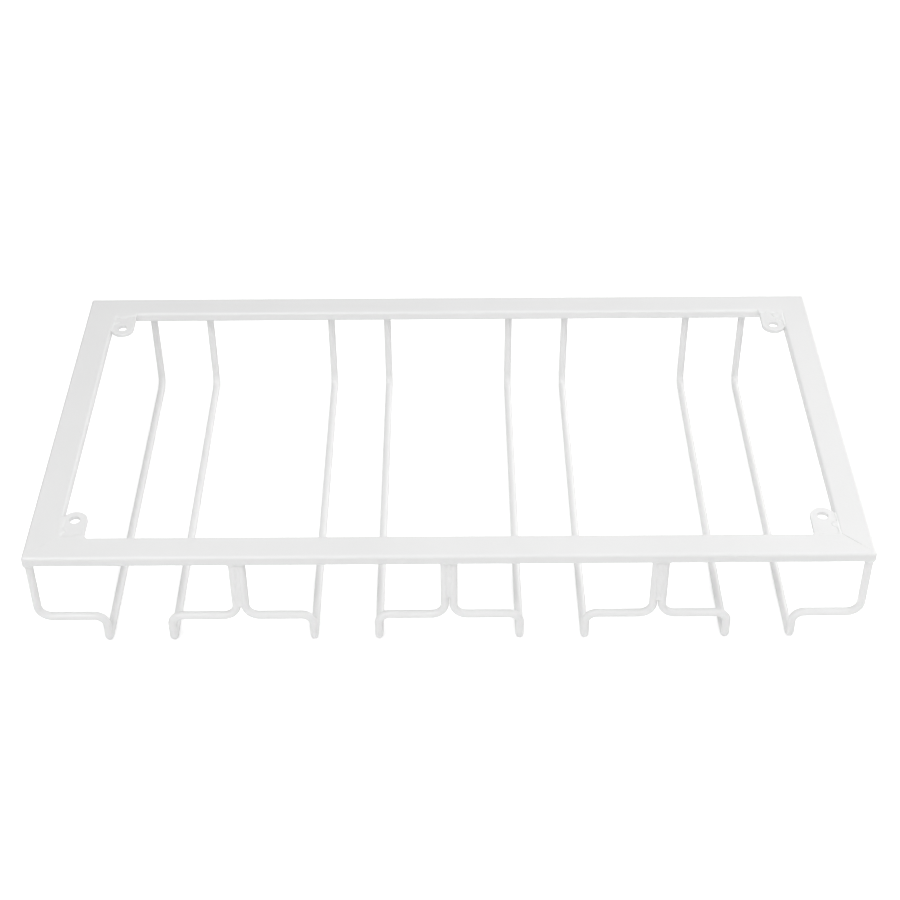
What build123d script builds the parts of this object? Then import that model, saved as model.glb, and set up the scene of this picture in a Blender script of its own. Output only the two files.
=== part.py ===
from build123d import *
import os

# Under-cabinet stemware rack: a mitred frame of flattened rectangular tube with
# eight bent wires welded below it.  The wires make four slots that are open at
# the front.  A glass is hung by its foot: the foot passes over the front lip and
# comes to rest on two rails, with the stem hanging down between them.
#
# Frame of reference, millimetres: the origin is the centre of the four screw
# holes, on the upper face of the mounting tabs.  +X is the rack's right, +Y its
# back, +Z up towards the shelf or cabinet that it is screwed to.

# ---------------------------------------------------------------- dimensions
frame_w = 430.0          # outside width of the frame, X
frame_d = 232.0          # outside depth of the frame, Y
bar_w = 16.0             # width of the tube, seen from above
bar_h = 6.0              # height of the tube
bar_r = 1.5              # outer corner radius of the tube
bar_wall = 1.0           # wall thickness of the tube
mitre_gap = 0.6          # width of the welded gap at each mitred corner
seam_recess = 0.12       # how far the dressed corner weld lies below the tube
corner_r = 1.5           # outside corners of the frame, dressed round in plan

tab_w = 13.0             # width of a mounting tab
tab_len = 20.5           # length of a mounting tab, from the tube's inner face
tab_t = 2.0              # thickness of a mounting tab
tab_drop = 0.5           # tab's upper face below the frame's upper face
tab_edge_r = 0.3         # rounding of the upper edge of a tab's round end
screw_d = 5.5            # screw hole

wire_d = 4.3             # wire with its coating
slot_pitch = 107.5       # centre to centre of two neighbouring slots
slot_gauge = 34.0        # centre to centre of the two rails of one slot
rail_drop = 60.2         # rail centre line below the frame's upper face
lip_drop = 43.8          # front lip centre line below the frame's upper face
leg_inset = 5.1          # rear leg centre line in from the frame's rear edge
post_inset = 4.0         # front post centre line in from the frame's front edge
end_post_inset = 2.4     # outermost post centre line in from the frame's end
twin_gap = 4.6           # centre to centre of the two posts of a pair
bend_rear = 7.0          # centre-line radius, leg to rail
bend_front = 3.0         # centre-line radius, rail to riser
bend_lip = 6.0           # centre-line radius, riser to lip
bend_post = 7.0          # centre-line radius, lip to post

flare = 1.3              # reach of the weld collar round a wire end
flare_mid = 0.42         # middle of the collar's hollow, as a share of its reach
seam_depth = 2.6         # thickness, front to back, of the seam between twin posts
seam_len = 28.0          # length of that seam, down from the tube
tab_bead = 1.8           # leg length of the weld bead under a tab
tab_bead_mid = 0.62      # middle of the bead's face, as a share of its leg
tab_bead_side = 12.0     # length of the bead along the side tube
tab_bead_end = 9.0       # length of the bead along the front or rear tube
side_bead_overrun = 2.0  # side bead's reach past the screw hole's centre
end_bead_inset = 1.0     # start of the end bead, in from the tab's free side

# ------------------------------------------------------------------- derived
top_z = tab_drop
under_z = top_z - bar_h
mid_z = top_z - bar_h / 2
half_w = frame_w / 2
half_d = frame_d / 2
inner_x = half_w - bar_w     # inner faces of the side tubes
inner_y = half_d - bar_w     # inner faces of the front and rear tubes
bar_r_in = bar_r - bar_wall
wire_r = wire_d / 2
rail_z = top_z - rail_drop
lip_z = top_z - lip_drop
leg_y = half_d - leg_inset
post_y = -half_d + post_inset
screw_x = inner_x - tab_w / 2
screw_y = inner_y - tab_len + tab_w / 2

# Rails and front posts, from the left: first the left half, then all eight.
left_rail_x = [
    slot * slot_pitch + side * slot_gauge / 2
    for slot in (-1.5, -0.5)
    for side in (-1, 1)
]
left_post_x = [
    -half_w + end_post_inset,
    -slot_pitch - twin_gap / 2,
    -slot_pitch + twin_gap / 2,
    -twin_gap / 2,
]
all_rail_x = left_rail_x + [-x for x in reversed(left_rail_x)]
all_post_x = left_post_x + [-x for x in reversed(left_post_x)]

os.makedirs("parts", exist_ok=True)


def save(part, name):
    part.label = name
    export_step(part, f"parts/{name}.step")


def mirrored(part, about):
    with BuildPart() as copy:
        mirror(part, about=about)
    return copy.part


# ------------------------------------------------------- mitred tube frame
def mitre_plane(corner_x, corner_y, keep_x, keep_y):
    """Mitre plane half the welded gap off a frame corner, facing the kept part."""
    shift = mitre_gap / 2 * 2 ** -0.5
    return Plane(
        origin=(corner_x + keep_x * shift, corner_y + keep_y * shift, 0),
        z_dir=(keep_x, keep_y, 0),
    )


def tube_bar(section_plane, length, mitres):
    """One tube of the frame, mitred at both ends, its outside corners dressed."""
    with BuildPart() as bar:
        with BuildSketch(section_plane):
            RectangleRounded(bar_w, bar_h, bar_r)
            RectangleRounded(
                bar_w - 2 * bar_wall, bar_h - 2 * bar_wall, bar_r_in, mode=Mode.SUBTRACT
            )
        extrude(amount=length)
        for mitre in mitres:
            split(bisect_by=mitre, keep=Keep.TOP)
        with BuildSketch(Plane.XY.offset(under_z)):
            RectangleRounded(frame_w, frame_d, corner_r)
        extrude(amount=bar_h, mode=Mode.INTERSECT)
    return bar.part


def corner_weld_metal():
    """Weld metal in the four mitres, dressed down just below the tube faces.

    A rounded picture frame, cut down to a thin diagonal plate in each corner.
    """
    outer_w = frame_w - 2 * seam_recess
    outer_d = frame_d - 2 * seam_recess
    with BuildPart() as welds:
        with BuildSketch(Plane.XY.offset(under_z + seam_recess)):
            Rectangle(outer_w, outer_d)
            Rectangle(
                2 * (inner_x + seam_recess), 2 * (inner_y + seam_recess), mode=Mode.SUBTRACT
            )
        extrude(amount=bar_h - 2 * seam_recess)
        fillet(welds.edges().filter_by(Axis.Z, reverse=True), radius=bar_r - seam_recess)
        with BuildSketch(Plane.XY.offset(under_z)):
            for side_x in (-1, 1):
                for side_y in (-1, 1):
                    centre = (side_x * (half_w - bar_w / 2), side_y * (half_d - bar_w / 2), 0)
                    with Locations(Location(centre, 45.0 * side_x * side_y)):
                        Rectangle(2 * bar_w, mitre_gap)
        extrude(amount=bar_h, mode=Mode.INTERSECT)
        with BuildSketch(Plane.XY.offset(under_z)):
            RectangleRounded(outer_w, outer_d, corner_r)
        extrude(amount=bar_h, mode=Mode.INTERSECT)
    return welds.part


front_bar = tube_bar(
    Plane(origin=(-half_w, -half_d + bar_w / 2, mid_z), x_dir=(0, 1, 0), z_dir=(1, 0, 0)),
    frame_w,
    [mitre_plane(-half_w, -half_d, 1, -1), mitre_plane(half_w, -half_d, -1, -1)],
)
left_bar = tube_bar(
    Plane(origin=(-half_w + bar_w / 2, -half_d, mid_z), x_dir=(1, 0, 0), z_dir=(0, 1, 0)),
    frame_d,
    [mitre_plane(-half_w, -half_d, -1, 1), mitre_plane(-half_w, half_d, -1, -1)],
)
save(front_bar, "front_bar")
save(mirrored(front_bar, Plane.XZ), "rear_bar")
save(left_bar, "left_bar")
save(mirrored(left_bar, Plane.YZ), "right_bar")
save(corner_weld_metal(), "corner_welds")


# ----------------------------------------------------------- mounting tabs
def front_left_tab():
    """Round-ended tab in the front left inner corner.

    Its one screw hole is on the centre of its round end.
    """
    with BuildPart() as tab:
        with BuildSketch(Plane.XY.offset(-tab_t)):
            with Locations((-screw_x, -screw_y)):
                Circle(tab_w / 2)
            with Locations((-screw_x, (-screw_y - inner_y) / 2)):
                Rectangle(tab_w, inner_y - screw_y)
        extrude(amount=tab_t)
        with Locations(Plane(origin=(-screw_x, -screw_y, 0))):
            Hole(radius=screw_d / 2)
        fillet(
            tab.edges()
            .filter_by(GeomType.CIRCLE)
            .filter_by(lambda edge: abs(edge.radius - tab_w / 2) < 0.01)
            .group_by(Axis.Z)[-1],
            radius=tab_edge_r,
        )
    return tab.part


def tab_weld_beads():
    """Beads under each tab: one along the side tube, one across the tab's root."""
    side_plane = Plane(
        origin=(-inner_x, -screw_y - tab_bead_side + side_bead_overrun, -tab_t),
        x_dir=(1, 0, 0),
        z_dir=(0, 1, 0),
    )
    root_plane = Plane(
        origin=(-inner_x + tab_w - end_bead_inset, -inner_y, -tab_t),
        x_dir=(0, 1, 0),
        z_dir=(-1, 0, 0),
    )
    face_mid = tab_bead * tab_bead_mid
    with BuildPart() as beads:
        for plane, length in ((side_plane, tab_bead_side), (root_plane, tab_bead_end)):
            with BuildSketch(plane):
                with BuildLine():
                    Line((0, 0), (tab_bead, 0))
                    ThreePointArc((tab_bead, 0), (face_mid, face_mid), (0, tab_bead))
                    Line((0, tab_bead), (0, 0))
                make_face()
            extrude(amount=length)
        mirror(about=Plane.YZ)
        mirror(about=Plane.XZ)
    return beads.part


tab_left = front_left_tab()
tab_right = mirrored(tab_left, Plane.YZ)
save(tab_left, "mounting_tab_front_left")
save(tab_right, "mounting_tab_front_right")
save(mirrored(tab_left, Plane.XZ), "mounting_tab_rear_left")
save(mirrored(tab_right, Plane.XZ), "mounting_tab_rear_right")
save(tab_weld_beads(), "tab_welds")


# -------------------------------------------------------------- glass rails
def glass_rail(rail_x, post_x):
    """One length of wire: rear leg, rail, riser, sideways front lip, front post."""
    corners = [
        (rail_x, leg_y, under_z),
        (rail_x, leg_y, rail_z),
        (rail_x, post_y, rail_z),
        (rail_x, post_y, lip_z),
        (post_x, post_y, lip_z),
        (post_x, post_y, under_z),
    ]
    with BuildPart() as wire:
        with BuildLine():
            FilletPolyline(*corners, radius=[bend_rear, bend_front, bend_lip, bend_post])
        with BuildSketch(Plane(origin=corners[0], x_dir=(1, 0, 0), z_dir=(0, 0, -1))):
            Circle(wire_r)
        sweep()
    return wire.part


left_rails = [glass_rail(rail_x, post_x) for rail_x, post_x in zip(left_rail_x, left_post_x)]
right_rails = [mirrored(rail, Plane.YZ) for rail in reversed(left_rails)]
for number, rail in enumerate(left_rails + right_rails, start=1):
    save(rail, f"glass_rail_{number}")

# --------------------------------------------- weld collars at the wire ends
# A concave collar round each wire where it meets the underside of the tube.
# Its hollow face in section: distance from the wire's axis, height off the tube.
collar_arc = [
    (wire_r + flare, 0),
    (wire_r + flare_mid * flare, -flare_mid * flare),
    (wire_r, -flare),
]


def front_post_collars():
    """Collars of the front posts.

    The two posts of a pair share one collar, which runs on down the seam between
    them and stops short of the bends, where the posts are still a slit apart.
    """
    with BuildPart() as welds:
        for x in all_post_x:
            with BuildSketch(Plane(origin=(x, post_y, under_z), x_dir=(1, 0, 0), z_dir=(0, -1, 0))):
                with BuildLine():
                    Line((0, 0), collar_arc[0])
                    ThreePointArc(*collar_arc)
                    Line(collar_arc[-1], (0, -flare))
                    Line((0, -flare), (0, 0))
                make_face()
            revolve(axis=Axis((x, post_y, 0), (0, 0, 1)))
        with BuildSketch(Plane.XY.offset(under_z)):
            with Locations((-slot_pitch, post_y), (0, post_y), (slot_pitch, post_y)):
                Rectangle(twin_gap, seam_depth)
        extrude(amount=-seam_len)
        # clear the wires themselves
        with BuildSketch(Plane.XY.offset(under_z)):
            with Locations(*[(x, post_y) for x in all_post_x]):
                Circle(wire_r)
        extrude(amount=-2 * seam_len, mode=Mode.SUBTRACT)
        # dressed flush with the outer faces of the frame
        with BuildSketch(Plane.XY.offset(under_z)):
            Rectangle(frame_w, frame_d)
        extrude(amount=-2 * seam_len, mode=Mode.INTERSECT)
    return welds.part


def rear_leg_collars():
    """One separate ring round each rear leg."""
    with BuildPart() as welds:
        for x in all_rail_x:
            with BuildSketch(Plane(origin=(x, leg_y, under_z), x_dir=(1, 0, 0), z_dir=(0, -1, 0))):
                with BuildLine():
                    Line((wire_r, 0), collar_arc[0])
                    ThreePointArc(*collar_arc)
                    Line(collar_arc[-1], (wire_r, 0))
                make_face()
            revolve(axis=Axis((x, leg_y, 0), (0, 0, 1)))
    return welds.part


save(front_post_collars(), "front_post_welds")
save(rear_leg_collars(), "rear_leg_welds")
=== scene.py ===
# A white powder-coated frame of four rectangular tubes, lying flat and centred on the Z axis, with
# a round-ended mounting tab in each inside corner and eight bent wires welded on underneath.
# +X is right, -Y is the front and +Z is up.  The CAD welds are replaced by uneven, rippled beads.
import math

import bpy
import numpy as np
from mathutils import Matrix, Vector

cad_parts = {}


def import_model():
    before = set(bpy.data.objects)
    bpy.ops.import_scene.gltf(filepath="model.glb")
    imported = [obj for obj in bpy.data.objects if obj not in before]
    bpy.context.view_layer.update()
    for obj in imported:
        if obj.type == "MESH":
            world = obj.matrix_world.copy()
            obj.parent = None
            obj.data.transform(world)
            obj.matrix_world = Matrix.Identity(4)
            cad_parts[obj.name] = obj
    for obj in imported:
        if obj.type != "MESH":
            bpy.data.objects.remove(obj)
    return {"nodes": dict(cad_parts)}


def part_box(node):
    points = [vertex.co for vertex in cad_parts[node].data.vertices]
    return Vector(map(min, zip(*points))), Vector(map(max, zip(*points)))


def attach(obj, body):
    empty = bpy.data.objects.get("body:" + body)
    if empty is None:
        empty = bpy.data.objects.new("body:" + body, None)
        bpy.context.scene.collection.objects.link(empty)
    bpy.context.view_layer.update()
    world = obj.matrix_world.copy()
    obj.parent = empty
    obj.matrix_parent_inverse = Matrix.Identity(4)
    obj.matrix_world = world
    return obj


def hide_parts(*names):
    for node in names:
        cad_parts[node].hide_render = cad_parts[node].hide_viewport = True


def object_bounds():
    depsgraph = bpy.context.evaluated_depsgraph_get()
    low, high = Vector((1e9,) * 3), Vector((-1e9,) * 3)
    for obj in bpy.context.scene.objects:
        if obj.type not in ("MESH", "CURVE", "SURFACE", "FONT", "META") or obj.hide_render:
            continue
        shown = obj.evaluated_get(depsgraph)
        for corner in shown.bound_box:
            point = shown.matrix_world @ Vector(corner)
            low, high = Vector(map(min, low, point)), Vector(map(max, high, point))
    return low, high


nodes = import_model()["nodes"]
cad_lo, cad_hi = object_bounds()
scene = bpy.context.scene

TUBES = ["front_bar", "rear_bar", "left_bar", "right_bar"]
TABS = ["mounting_tab_" + corner for corner in ("front_left", "front_right", "rear_left", "rear_right")]
RAILS = [f"glass_rail_{number}" for number in range(1, 9)]
WELDS = ["corner_welds", "tab_welds", "front_post_welds", "rear_leg_welds"]


# ------------------------------------------------------------- shader helpers
def node(tree, kind, inputs=None, **settings):
    """Add a node; inputs maps a socket's name or number to a value or to the output feeding it."""
    made = tree.nodes.new(kind)
    for key, value in settings.items():
        setattr(made, key, value)
    for key, value in (inputs or {}).items():
        if isinstance(value, bpy.types.NodeSocket):
            tree.links.new(value, made.inputs[key])
        else:
            made.inputs[key].default_value = value
    return made


def combine(tree, kind, *operands, **settings):
    """First output of a node whose inputs are filled in order."""
    return node(tree, kind, dict(enumerate(operands)), **settings).outputs[0]


def calculate(tree, operation, *operands):
    return combine(tree, "ShaderNodeMath", *operands, operation=operation)


def map_range(tree, value, to, source=(0.0, 1.0)):
    return node(tree, "ShaderNodeMapRange", {
        "Value": value,
        "From Min": source[0], "From Max": source[1],
        "To Min": to[0], "To Max": to[1],
    }).outputs[0]


def empty_material(name):
    material = bpy.data.materials.new(name)
    material.use_nodes = True
    material.node_tree.nodes.clear()
    return material, material.node_tree


# ---------------------------------------------------------------- powder coat
COAT_TINT = (1.0, 1.0, 0.998)
FILM_SIZE = 0.014  # metres, waves of film thickness
NIB_SPACING = 0.011
DRIFT_SIZE = 0.06  # colour drift
PEEL_DEPTH = 0.00004
NOISE_SPAN = (0.3, 0.7)  # the part of a noise's range that is used


def powder_coat(name, seed, base=0.73, peel=1.0, peel_size=0.0016, roughness=0.36):
    """White satin coat: orange peel, slow film waves, sparse dust nibs and a little colour drift.

    base is the mean brightness, peel scales the relief and peel_size is in metres.
    """
    material, tree = empty_material(name)
    coord = node(tree, "ShaderNodeTexCoord").outputs["Object"]
    offset = (seed, seed * 1.7, seed * 0.6)
    place = combine(tree, "ShaderNodeVectorMath", coord, offset, operation="ADD")

    def noise(size, detail, rough, finer=1.0):
        return node(tree, "ShaderNodeTexNoise", {
            "Vector": place, "Scale": finer / size, "Detail": detail, "Roughness": rough,
        }).outputs["Fac"]

    # relief: rounded cells, broken up by a finer noise, on the film wave, with nibs on top
    cells = noise(peel_size, detail=2.0, rough=0.45)
    fine = noise(peel_size, detail=3.0, rough=0.6, finer=2.6)
    film = noise(FILM_SIZE, detail=2.0, rough=0.5)
    nib = node(tree, "ShaderNodeTexVoronoi", {
        "Vector": place, "Scale": 1.0 / NIB_SPACING, "Randomness": 1.0,
    }).outputs["Distance"]
    height = cells
    for layer, share in (
        (fine, 0.28),
        (film, 0.9),
        (map_range(tree, nib, to=(1.0, 0.0), source=(0.0, 0.035)), 0.5),
    ):
        height = calculate(tree, "MULTIPLY_ADD", layer, share, height)
    bump = node(tree, "ShaderNodeBump", {
        "Strength": 1.0, "Distance": PEEL_DEPTH * peel, "Height": height,
    })

    drift = noise(DRIFT_SIZE, detail=3.0, rough=0.55)
    shade = map_range(tree, drift, to=(base * 0.988, base * 1.012), source=NOISE_SPAN)
    channels = [calculate(tree, "MULTIPLY", shade, tint) for tint in COAT_TINT]

    # the roughness follows the film wave
    satin = map_range(tree, film, to=(roughness - 0.04, roughness + 0.05), source=NOISE_SPAN)
    surface = node(tree, "ShaderNodeBsdfPrincipled", {
        "Base Color": combine(tree, "ShaderNodeCombineColor", *channels),
        "Roughness": satin,
        "IOR": 1.5,
        "Coat Weight": 0.12,
        "Coat Roughness": 0.22,
        "Normal": bump.outputs["Normal"],
    })
    node(tree, "ShaderNodeOutputMaterial", {"Surface": surface.outputs[0]})
    return material


tube_coat = powder_coat("tube_coat", seed=0.13)
tab_coat = powder_coat("tab_coat", seed=0.31, peel=0.9)
# the wires have the tubes' white coat, but their base is painted brighter (0.76 against 0.73): painted
# light that stands in for light the wires lack
wire_coat_with_painted_lift = powder_coat(
    "wire_coat_with_painted_lift", seed=0.57, base=0.760, peel=0.55, peel_size=0.0011, roughness=0.34)
weld_coat = powder_coat(
    "weld_coat", seed=0.83, base=0.735, peel=1.4, peel_size=0.0009, roughness=0.38)
# the beads have the tubes' white coat, but their base is painted brighter (0.77 against 0.73): painted
# light that lifts the shade in the seams between the wires
bead_coat_with_painted_lift = powder_coat(
    "bead_coat_with_painted_lift", seed=0.91, base=0.77, peel=1.2, peel_size=0.0009, roughness=0.37)

# the wire coat carries a painted lift of brightness over the tube coat
for names, coat in ((TUBES, tube_coat), (TABS, tab_coat), (RAILS, wire_coat_with_painted_lift), (WELDS, weld_coat)):
    for name in names:
        materials = nodes[name].data.materials
        materials.clear()
        materials.append(coat)

# ------------------------------------------------------------ weld dimensions
# A bead is a field in millimetres, negative inside: the room left between two neighbours, cut off
# just below their skins so that it grows out of both.
MM = 1000.0
TUBE_R = 1.5  # rounding of the tube edges
WIRE_R = 2.15
EMBED = 0.26  # how far a bead reaches below the skins
CUT_BLEND = 0.05  # rounding where a bead is cut off
GRID = 0.2  # cell size of the bead meshes

half_w, half_d = MM * cad_hi.x, MM * cad_hi.y
tube_lo, tube_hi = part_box("left_bar")
under_z, top_z = MM * tube_lo.z, MM * tube_hi.z
tube_w = MM * (tube_hi.x - tube_lo.x)
tube_mid = (under_z + top_z) / 2
tube_half = (top_z - under_z) / 2

# wire centres where they meet the tubes: posts at the front, legs at the rear
posts, legs = [], []
for i, name in enumerate(RAILS):
    rail_lo, rail_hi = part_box(name)
    left, right = MM * rail_lo.x + WIRE_R, MM * rail_hi.x - WIRE_R
    # odd rails have their post on the left, even rails on the right
    posts.append(left if i % 2 == 0 else right)
    legs.append(right if i % 2 == 0 else left)
    post_y, leg_y = MM * rail_lo.y + WIRE_R, MM * rail_hi.y - WIRE_R


# --------------------------------------------------------------- field helpers
def wobble(x, y, z, size, seed):
    """Smooth repeatable unevenness, about -1 to 1, with lumps of the given size."""
    rng = np.random.default_rng(seed)
    total = 0.0
    for _ in range(7):
        wave = rng.normal(size=3)
        wave *= 2 * math.pi / size * rng.uniform(0.6, 1.4) / np.linalg.norm(wave)
        phase = rng.uniform(0, 2 * math.pi)
        total = total + np.sin(wave[0] * x + wave[1] * y + wave[2] * z + phase)
    return total / 3.2  # brings the sum of seven waves back to about 1


def smooth_min(a, b, blend):
    overlap = np.maximum(blend - np.abs(a - b), 0.0) / blend
    return np.minimum(a, b) - overlap * overlap * blend / 4


def smooth_max(a, b, blend):
    return -smooth_min(-a, -b, blend)


def cut_below(field, *skins):
    """Cut a bead off at EMBED below each skin."""
    for skin in skins:
        field = smooth_max(field, -skin - EMBED, CUT_BLEND)
    return field


def rise(place, start, length):
    """0 up to the start, then up to 1 over the length."""
    return np.clip((place - start) / length, 0.0, 1.0)


def fade(place, end, length):
    """1, falling to 0 over the length before the end."""
    return np.clip((end - place) / length, 0.0, 1.0)


def rounded_box(point, centre, half):
    """Distance to a box with edges rounded by TUBE_R."""
    gaps = [np.abs(v - c) - (h - TUBE_R) for v, c, h in zip(point, centre, half)]
    outside = np.sqrt(sum(np.maximum(gap, 0.0) ** 2 for gap in gaps))
    deepest = np.maximum(np.maximum(gaps[0], gaps[1]), gaps[2])
    return outside + np.minimum(deepest, 0.0) - TUBE_R


def frame_outline(x, y, z):
    return rounded_box((x, y, z), (0, 0, tube_mid), (half_w, half_d, tube_half))


def side_tube(x, y, z, side):
    """Left (-1) or right (1) tube."""
    centre = (side * (half_w - tube_w / 2), 0, tube_mid)
    return rounded_box((x, y, z), centre, (tube_w / 2, half_d, tube_half))


def end_tube(x, y, z, end):
    """Front (-1) or rear (1) tube."""
    centre = (0, end * (half_d - tube_w / 2), tube_mid)
    return rounded_box((x, y, z), centre, (half_w, tube_w / 2, tube_half))


def corner_fill(a, b, power):
    """Distance-like measure of the corner between two skins.

    A power under 1 gives a hollow bead, 1 a flat one and over 1 a bulging one.
    """
    return (np.maximum(a, 0.0) ** power + np.maximum(b, 0.0) ** power) ** (1 / power)


# --------------------------------------------------------------------- meshing
def join_diagonals(values):
    """Join insides that touch only across a diagonal, so that every edge has just two faces."""
    filled = -0.01 * GRID
    for _ in range(8):
        for axes in ((0, 1), (0, 2), (1, 2)):
            view = np.moveaxis(values, axes, (0, 1))
            solid = view < 0
            near, beside = solid[:-1, :-1], solid[1:, :-1]
            above, far = solid[:-1, 1:], solid[1:, 1:]
            view[1:, :-1][near & far & ~beside & ~above] = filled
            view[:-1, :-1][~near & ~far & beside & above] = filled


def crossing_points(values, cell):
    """Mean place of the surface crossings on the edges of each cell, in cell units."""
    place, hits = np.zeros((len(cell), 3)), np.zeros(len(cell))
    for start in np.ndindex(2, 2, 2):
        for axis in range(3):
            if start[axis]:
                continue
            stop = np.array(start) + np.eye(3, dtype=int)[axis]
            at_start, at_stop = values[tuple((cell + start).T)], values[tuple((cell + stop).T)]
            cross = (at_start < 0) != (at_stop < 0)
            part = np.where(cross, at_start / np.where(cross, at_start - at_stop, 1.0), 0.0)
            spot = np.array(start, float) + part[:, None] * (stop - start)
            place += np.where(cross[:, None], spot, 0.0)
            hits += cross
    return place / hits[:, None]


def pull_on(field, points):
    """Move the points on to field = 0 in three short steps along its slope."""
    probe = 0.02
    for _ in range(3):
        here = field(*points.T)
        slope = np.stack([
            field(*(points + shift).T) - field(*(points - shift).T) for shift in probe * np.eye(3)
        ], 1) / (2 * probe)
        move = here[:, None] * slope / np.maximum((slope ** 2).sum(1), 0.05)[:, None]
        length = np.linalg.norm(move, axis=1)[:, None]
        points = points - move * np.minimum(1.0, 0.3 * GRID / np.maximum(length, 1e-12))
    return points


def surface(field, low, high):
    """Closed surface of field = 0: a vertex per mixed cell and a quad per crossed grid edge."""
    low = np.array(low, float) - 1.5 * GRID
    count = np.ceil((np.array(high, float) + 1.5 * GRID - low) / GRID).astype(int) + 1
    axes = [low[i] + GRID * np.arange(count[i]) for i in range(3)]
    values = field(*np.meshgrid(*axes, indexing="ij"))
    join_diagonals(values)
    # the outermost layer is outside, so that the surface closes
    for axis in range(3):
        np.moveaxis(values, axis, 0)[[0, -1]] = 1.0
    values = np.where(np.abs(values) < 1e-9, 1e-9, values)
    inside = values < 0

    cells = tuple(count - 1)
    total = sum(
        inside[i:i + cells[0], j:j + cells[1], k:k + cells[2]].astype(int)
        for i, j, k in np.ndindex(2, 2, 2)
    )
    cell = np.argwhere((total > 0) & (total < 8))
    index = -np.ones(cells, int)
    index[tuple(cell.T)] = np.arange(len(cell))
    points = pull_on(field, low + GRID * (cell + crossing_points(values, cell)))

    quads = []
    for axis in range(3):
        along = np.moveaxis(inside, axis, 0)
        here = np.moveaxis(along[:-1], 0, axis)
        following = np.moveaxis(along[1:], 0, axis)
        step_u, step_v = np.eye(3, dtype=int)[[(axis + 1) % 3, (axis + 2) % 3]]
        for crossed, turn in ((here & ~following, 1), (~here & following, -1)):
            edge = np.argwhere(crossed)
            ring = [edge - step_u - step_v, edge - step_v, edge, edge - step_u][::turn]
            quads.append(np.stack([index[tuple(corner.T)] for corner in ring], 1))
    return points, np.concatenate(quads)


def weld_piece(name, parts, cad_name, material):
    """One object from several closed surfaces; it stands for one CAD weld node."""
    points, quads, start = [], [], 0
    for part_points, part_quads in parts:
        points.append(part_points / MM)
        quads.append(part_quads + start)
        start += len(part_points)
    mesh = bpy.data.meshes.new(name)
    mesh.from_pydata(np.concatenate(points).tolist(), [], np.concatenate(quads).tolist())
    mesh.polygons.foreach_set("use_smooth", [True] * len(mesh.polygons))
    mesh.update()
    piece = bpy.data.objects.new(name, mesh)
    scene.collection.objects.link(piece)
    mesh.materials.append(material)
    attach(piece, "root")
    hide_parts(cad_name)


# ---------------------------------------------------------------- wire collars
COLLAR_POWER = 0.92  # slightly hollow
EDGE_MARGIN = 0.08  # collars stay this far inside the frame's outer faces


def collar(wires, wire_y, reach, seed, seam=None, forward=0.0):
    """Collar under the tube round one wire, or round a pair of posts.

    seam is (length, width at the tube, width at the bottom) of the fill between a pair, and
    forward widens the collar on the front.
    """
    middle = sum(wires) / len(wires)

    def seam_width(x, y, z):
        length, top_width, low_width = seam
        down = np.clip((under_z - z) / length, 0.0, 1.3)
        width = top_width + (low_width - top_width) * down
        width = width + 0.20 * wobble(x * 0.2, y * 0.2, z, 5.5, seed + 50)
        width = width + 0.06 * np.sin(2 * math.pi * z / 1.3)
        return width * fade(down, 1.0, 0.08)

    def field(x, y, z):
        skin = frame_outline(x, y, z)
        each = [np.hypot(x - wire, y - wire_y) - WIRE_R for wire in wires]
        near = soft = each[0]
        if len(each) == 2:
            near, soft = np.minimum(*each), smooth_min(*each, 1.2)
        angle = np.arctan2(y - wire_y, x - middle)
        uneven = 1 + 0.13 * wobble(x, y, z, 3.2, seed) + 0.05 * np.sin(11 * angle + seed)
        uneven = uneven + forward * fade(y, wire_y, 3.0)
        bead = corner_fill(skin, soft, COLLAR_POWER) - reach * uneven
        if seam:
            bead = smooth_min(bead, each[0] + each[1] - seam_width(x, y, z), 0.5)
        bead = cut_below(bead, skin, near)
        bead = smooth_max(bead, np.abs(x) - (half_w - EDGE_MARGIN), 0.5)
        return smooth_max(bead, np.abs(y) - (half_d - EDGE_MARGIN), 0.5)

    drop = (seam[0] + 1 if seam else 0) + 0.5
    grow = reach * (1.35 + forward) + WIRE_R
    low_z = under_z - max(reach * (1.4 + forward), drop)
    return surface(
        field,
        (min(wires) - grow, wire_y - grow, low_z),
        (max(wires) + grow, wire_y + grow, under_z + 1.8),
    )


# the outermost posts stand alone, the three pairs between them have a seam
post_parts = [
    collar([posts[0]], post_y, reach=2.3, seed=3),
    collar([posts[7]], post_y, reach=2.2, seed=4),
]
for first, seed, seam in (
    (1, 5, (32.5, 2.15, 1.6)),
    (3, 6, (27.0, 2.05, 1.35)),
    (5, 7, (29.5, 2.45, 1.5)),
):
    pair = posts[first:first + 2]
    post_parts.append(collar(pair, post_y, reach=1.35, seed=seed, seam=seam, forward=0.55))
# the post beads use the bead coat, whose brighter base is painted light on the seams
weld_piece("front_post_weld_beads", post_parts, "front_post_welds", bead_coat_with_painted_lift)
weld_piece("rear_leg_weld_beads", [
    collar([x], leg_y, reach=1.5 + 0.2 * math.sin(5 * i + 1), seed=20 + i)
    for i, x in enumerate(legs)
], "rear_leg_welds", bead_coat_with_painted_lift)

# ------------------------------------------------------------------- tab beads
UNDER_SIDE, UNDER_END = 1.95, 1.8  # widths under the tab, along the side and the end tube
UNDER_POWER = 1.08  # slightly bulging
RIPPLE_PITCH = 1.25
EDGE_WIDTH = 0.45  # what is left of the under beads at the tab's top
LEAD = 0.3  # kept clear of the tab's top and bottom
TOP_HEIGHT = 0.60  # tallest top bead
TOP_POWER = 1.5


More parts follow.
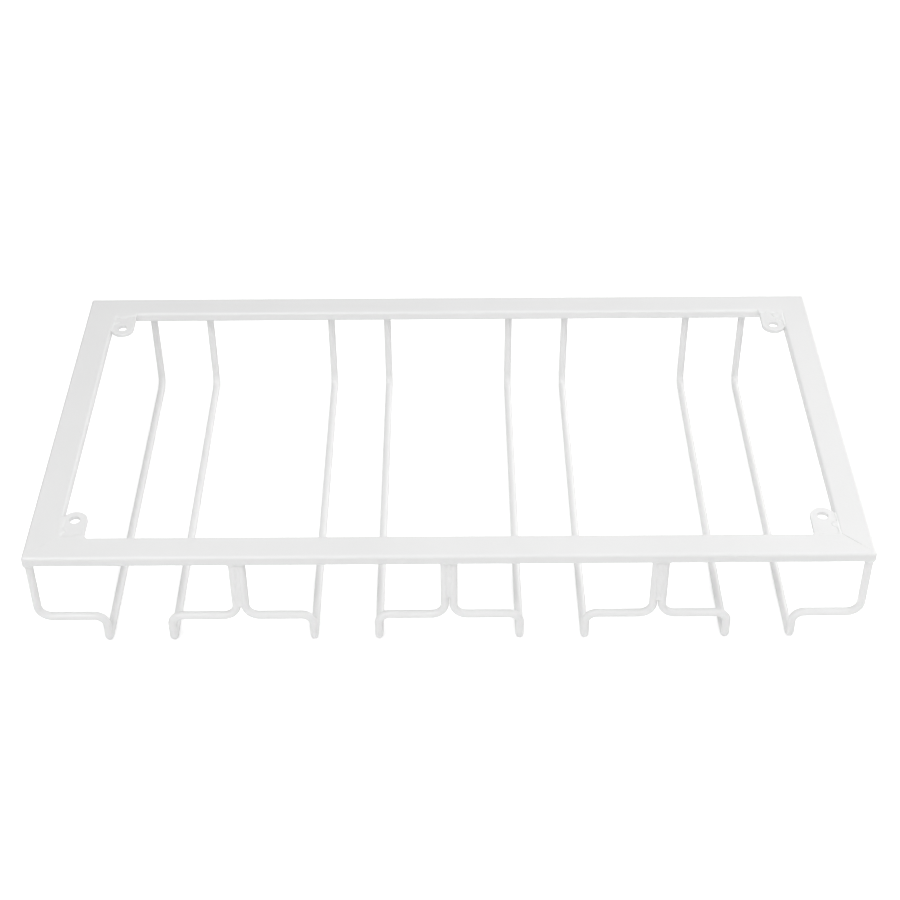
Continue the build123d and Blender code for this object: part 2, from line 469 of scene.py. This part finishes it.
def tab_beads(side, end, seed, along, across_line, lumps, wrap, groove=0.25):
    """Beads that hold a tab in its corner: a full one underneath and an uneven one on top.

    along and across_line are (distance, width) of the top beads, along the side tube from the end
    tube and along the end tube from the side tube.  lumps are (in from the side tube, out from
    the end tube, half width, half length, height).  wrap is the size of the bead round the corner
    at the free edge, and groove how fast the top beads sink past the tab's edge.
    """
    corner = ("front_" if end < 0 else "rear_") + ("left" if side < 0 else "right")
    tab_lo, tab_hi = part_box("mounting_tab_" + corner)
    tab_w = MM * (tab_hi.x - tab_lo.x)
    tab_half = tab_w / 2
    tab_top, tab_low = MM * tab_hi.z, MM * tab_lo.z
    root = end * (half_d - tube_w)  # inner face of the end tube
    # centre of the round end, and the tab's edge at the side tube
    centre_x = MM * (tab_lo.x + tab_hi.x) / 2
    centre_y = MM * (tab_hi.y if end < 0 else tab_lo.y) + end * tab_half
    tube_edge = centre_x + side * tab_half

    def field(x, y, z):
        u, w = (x - centre_x) * side, (y - centre_y) * end

        def outline(sideways):
            return np.where(w < 0, np.hypot(sideways, w), np.abs(sideways)) - tab_half

        plan = outline(u)
        slab = np.abs(z - (tab_top + tab_low) / 2) - (tab_top - tab_low) / 2
        tab = np.hypot(np.maximum(plan, 0), np.maximum(slab, 0))
        tab = tab + np.minimum(np.maximum(plan, slab), 0)
        by_side, by_end = side_tube(x, y, z, side), end_tube(x, y, z, end)
        above = rise(z, tab_low + LEAD, tab_top - tab_low - 2 * LEAD)
        above = above * above * (3 - 2 * above)
        far, across = (root - y) * end, (tube_edge - x) * side

        def under_bead(skin, width, place, run, bead_seed):
            ripple = 0.09 * np.abs(np.sin(math.pi * place / RIPPLE_PITCH)) - 0.05
            below = width * (1 + ripple + 0.08 * wobble(x, y, z, 5.0, bead_seed))
            reach = (below + (EDGE_WIDTH - below) * above) * run
            return corner_fill(skin, tab, UNDER_POWER) - reach

        # under the tab: along the side tube, and along the end tube up to the free edge
        run = fade(far, tab_half + 10.6, 2.2) ** 0.5
        bead = under_bead(by_side, UNDER_SIDE, far + 0.25 * u, run, seed)
        run = fade(across, tab_w - 0.6, 1.6) ** 0.5
        bead = smooth_min(bead, under_bead(by_end, UNDER_END, across, run, seed + 1), 0.6)
        # round the corner between the end tube and the free edge
        turn = rise(across, tab_w - 2.5, 2.0) * fade(across, 1.2 * wrap + tab_w, 0.8)
        reach = wrap * turn * (1 + 0.1 * wobble(x, y, z, 2.5, seed + 3))
        bead = smooth_min(bead, corner_fill(by_end, tab, 1.0) - reach, 0.5)

        # the top beads: flush with the tube, easing down on to the tab
        wide_plan = outline(np.minimum(u, tab_half))
        lift = np.hypot(np.maximum(z - tab_top, 0.0), np.maximum(wide_plan, 0.0))
        uneven = 1 + 0.12 * wobble(x, y, z, 3.0, seed + 9)
        for skin, place, line, gap in (
            (by_side, far, along, u - tab_half),
            (by_end, across, across_line, -far),
        ):
            width = np.interp(place, *zip(*line)) * uneven
            width = width + 0.05 * np.abs(np.sin(math.pi * place / 1.4))
            height = np.clip(width, 0.02, TOP_HEIGHT)
            sunk = (lift + groove * np.maximum(gap, 0.0)) / height
            spread = corner_fill(skin / np.maximum(width, 0.05), sunk, TOP_POWER)
            pad = smooth_max((spread - 1) * height, tab_low + LEAD - z, 0.3)
            bead = smooth_min(bead, pad, 0.35)
        for inset, out, wide, long, tall in lumps:
            lump = np.sqrt(
                ((across - inset) / wide) ** 2 + ((far - out) / long) ** 2
                + ((z - tab_top) / tall) ** 2
            )
            lump = lump - 1 - 0.07 * wobble(x, y, z, 2.2, seed + 5)
            bead = smooth_min(bead, lump * 0.8 * tall, 0.3)
        bead = cut_below(bead, by_side, by_end, tab)
        return smooth_max(bead, z - (top_z - 0.03), 0.10)

    xs = sorted((centre_x - side * (tab_half + wrap + 0.6), tube_edge + side * 1.6))
    ys = sorted((root - end * 20.5, root + end * 1.6))
    return surface(field, (xs[0], ys[0], tab_low - 2.8), (xs[1], ys[1], top_z + 0.1))


weld_piece("tab_weld_beads", [
    tab_beads(
        side=-1, end=-1, seed=31, wrap=1.8,
        along=[(0, 1.6), (3, 1.9), (4.8, 2.5), (8.2, 1.4), (11, 1.9), (13.4, 2.3), (16, 1.8),
               (18.3, 0)],
        across_line=[(0, 1.9), (4, 1.3), (8, 1.6), (11, 2.3), (13, 2.1), (15, 0.6)],
        lumps=[(1.3, 4.8, 1.6, 1.7, 0.44), (10.6, 1.2, 2.4, 1.6, 0.44)]),
    tab_beads(
        side=1, end=-1, seed=33, wrap=1.1, groove=0.9,
        along=[(0, 1.3), (3, 0.9), (5, 1.2), (7.2, 1.4), (9.5, 0.6), (12, 0.3), (14.5, 0.8),
               (17, 0.6), (18, 0)],
        across_line=[(0, 1.5), (3, 0.8), (6, 0.7), (9, 1.1), (12, 2.0), (13.5, 1.4), (14.5, 0.3)],
        lumps=[(1.3, 7.2, 1.9, 2.2, 0.46), (11.2, 1.0, 1.9, 1.4, 0.44)]),
    tab_beads(
        side=-1, end=1, seed=35, wrap=1.0,
        along=[(0, 2.4), (3.2, 1.3), (6, 1.6), (8, 2.7), (10.5, 1.4), (12, 0.9), (14.5, 1.2),
               (17, 0.9), (18, 0)],
        across_line=[(0, 2.4), (4, 3.2), (8, 3.0), (10.5, 2.4), (13, 1.5), (14.5, 0.4)],
        lumps=[(1.9, 8.0, 2.3, 1.7, 0.46), (5.2, 1.7, 2.6, 2.0, 0.46)]),
    tab_beads(
        side=1, end=1, seed=37, wrap=1.2, groove=0.5,
        along=[(0, 2.4), (3, 3.0), (6, 2.0), (9, 1.7), (11.5, 1.0), (14, 0.8), (16.5, 0.5),
               (17.5, 0)],
        across_line=[(0, 2.8), (3, 2.4), (6, 3.2), (9, 2.4), (12, 2.2), (13.2, 1.6), (14.6, 0.4)],
        lumps=[(3.9, 4.9, 2.2, 1.9, 0.46), (3.0, 9.0, 1.7, 1.5, 0.44),
               (1.0, 3.0, 1.8, 1.8, 0.46)]),
], "tab_welds", weld_coat)

# ---------------------------------------------------------------- mitre seams
SEAM_HALF = 0.42


def mitre_seam(side, end, seed, sink):
    """Dressed mitre weld, nearly flush with the tubes.

    sink(t) is how far it lies below the skin, t running from the inner corner (0) to the outer (1).
    """
    def field(x, y, z):
        tubes = np.minimum(side_tube(x, y, z, side), end_tube(x, y, z, end))
        skin = np.maximum(frame_outline(x, y, z), tubes)
        along = (np.abs(x) - (half_w - tube_w)) + (np.abs(y) - (half_d - tube_w))
        across = np.abs((half_w - np.abs(x)) - (half_d - np.abs(y))) / math.sqrt(2)
        depth = 0.02 + 0.015 * (1 + wobble(x, y, z, 4.0, seed)) + sink(along / (2 * tube_w))
        return smooth_max(skin + depth, across - SEAM_HALF, 0.08)

    xs = sorted((side * (half_w - tube_w - 0.5), side * half_w))
    ys = sorted((end * (half_d - tube_w - 0.5), end * half_d))
    return surface(field, (xs[0], ys[0], under_z), (xs[1], ys[1], top_z))


def dip(t, depth, place, width):
    return depth * np.exp(-(((t - place) / width) ** 2))


weld_piece("corner_weld_seams", [
    mitre_seam(-1, -1, 41, lambda t: dip(t, depth=0.10, place=0.42, width=0.10)),
    mitre_seam(1, -1, 43, lambda t: 0.17 * fade(t, end=0.62, length=0.16)),
    mitre_seam(-1, 1, 45, lambda t: dip(t, depth=0.05, place=0.3, width=0.12)),
    mitre_seam(1, 1, 47, lambda t: 0.22 * rise(t, start=0.74, length=0.08)
               + dip(t, depth=0.04, place=0.2, width=0.1)),
], "corner_welds", weld_coat)


# ----------------------------------------------------------------------- floor
def floor_material():
    """White sweep, clear from underneath."""
    material, tree = empty_material("studio_white")
    facing = node(tree, "ShaderNodeNewGeometry").outputs
    path = node(tree, "ShaderNodeLightPath").outputs
    # paler to the camera than to the light that bounces off it
    pale = map_range(tree, path["Is Camera Ray"], to=(0.89, 0.96))
    diffuse = node(tree, "ShaderNodeBsdfDiffuse", {"Color": pale}).outputs[0]
    # a glow that grows with distance keeps it white out to the horizon
    distance = node(
        tree, "ShaderNodeVectorMath", {0: facing["Position"]}, operation="LENGTH").outputs["Value"]
    reach = map_range(tree, distance, to=(0.26, 0.75), source=(0.4, 3.0))
    base_glow = 0.028
    strength = calculate(tree, "MULTIPLY_ADD", path["Is Camera Ray"], reach, base_glow)
    glow = node(tree, "ShaderNodeEmission", {"Strength": strength}).outputs[0]
    lit = combine(tree, "ShaderNodeAddShader", diffuse, glow)
    # once a ray has passed through from below, the floor is an even light to the part
    even = node(tree, "ShaderNodeEmission", {"Strength": 0.85}).outputs[0]
    passed = calculate(tree, "MINIMUM", path["Transparent Depth"], 1.0)
    face = combine(tree, "ShaderNodeMixShader", passed, lit, even)
    clear = combine(tree, "ShaderNodeBsdfTransparent")
    both = combine(tree, "ShaderNodeMixShader", facing["Backfacing"], face, clear)
    node(tree, "ShaderNodeOutputMaterial", {"Surface": both})
    return material


bpy.ops.mesh.primitive_plane_add(size=60.0, location=(0, 0, cad_lo.z))
floor = bpy.context.object
floor.name = "studio_floor"
floor.data.materials.append(floor_material())


# -------------------------------------------------------------------- surround
def surround():
    """Soft light from the front, the sides and overhead; plain white to the camera."""
    world = bpy.data.worlds.new("studio")
    scene.world = world
    world.use_nodes = True
    tree = world.node_tree
    way = node(tree, "ShaderNodeTexCoord").outputs["Generated"]
    parts = node(tree, "ShaderNodeSeparateXYZ", {0: way}).outputs
    total = 0.332  # light from every direction
    for axis, sign, power, share in (
        ("X", -1, 1, 0.243),  # left
        ("X", 1, 1, 0.148),  # right
        ("Y", -1, 1, 0.265),  # front
        ("Z", 1, 2, 0.255),  # overhead
    ):
        toward = calculate(tree, "MULTIPLY", parts[axis], sign)
        kept = calculate(tree, "MAXIMUM", toward, 0.0)
        curve = calculate(tree, "POWER", kept, power)
        total = calculate(tree, "MULTIPLY_ADD", curve, share, total)
    seen = node(tree, "ShaderNodeLightPath").outputs["Is Camera Ray"]
    # sockets 2 and 3 are the two numbers mixed
    pick = node(tree, "ShaderNodeMix", {"Factor": seen, 2: total, 3: 1.0})
    background = tree.nodes["Background"]
    background.inputs["Color"].default_value = (1, 1, 1, 1)
    tree.links.new(pick.outputs[0], background.inputs["Strength"])


surround()


# ---------------------------------------------------------------------- lights
def soft_box(name, place, size, power, target=(0.0, 0.0, 0.0)):
    data = bpy.data.lights.new(name, "AREA")
    data.shape = "RECTANGLE"
    data.size = data.size_y = size
    data.energy = power
    light = bpy.data.objects.new(name, data)
    scene.collection.objects.link(light)
    light.location = place
    light.rotation_mode = "QUATERNION"
    light.rotation_quaternion = (Vector(target) - Vector(place)).to_track_quat("-Z", "Y")
    light.visible_camera = False


soft_box("near_top", place=(0.0, -0.25, 0.85), size=0.7, power=1.45)
soft_box("key_front_left", place=(-0.6, -0.8, 1.0), size=0.5, power=4.9)
soft_box("key_right", place=(1.05, -0.25, 1.05), size=1.1, power=1.7, target=(0.05, 0.0, 0.0))
soft_box("near_right", place=(0.7, -0.1, 0.6), size=0.5, power=2.0, target=(0.1, 0.0, 0.0))
soft_box("rear_right", place=(1.1, 1.1, 0.45), size=0.9, power=5.3)

# ---------------------------------------------------------------------- camera
CAMERA_PLACE = (0.001214, -0.760558, 0.589663)
PITCH, YAW, ROLL = 0.679399, -0.001139, -0.006683  # radians; pitch is downward from +Y

ahead = Vector((
    math.sin(YAW) * math.cos(PITCH), math.cos(YAW) * math.cos(PITCH), -math.sin(PITCH)))
level = Vector((math.cos(YAW), -math.sin(YAW), 0.0))
upright = level.cross(ahead)
right = math.cos(ROLL) * level + math.sin(ROLL) * upright
up = -math.sin(ROLL) * level + math.cos(ROLL) * upright

camera_data = bpy.data.cameras.new("camera")
camera_data.sensor_width = 36.0
camera_data.lens = 69.5802
camera_data.shift_x, camera_data.shift_y = 0.001, -0.00011111
camera = bpy.data.objects.new("camera", camera_data)
scene.collection.objects.link(camera)
rows = zip(right, up, -ahead, CAMERA_PLACE)
camera.matrix_world = Matrix((*rows, (0, 0, 0, 1)))
scene.camera = camera
scene.view_settings.view_transform = "Standard"
scene.view_settings.look = "None"
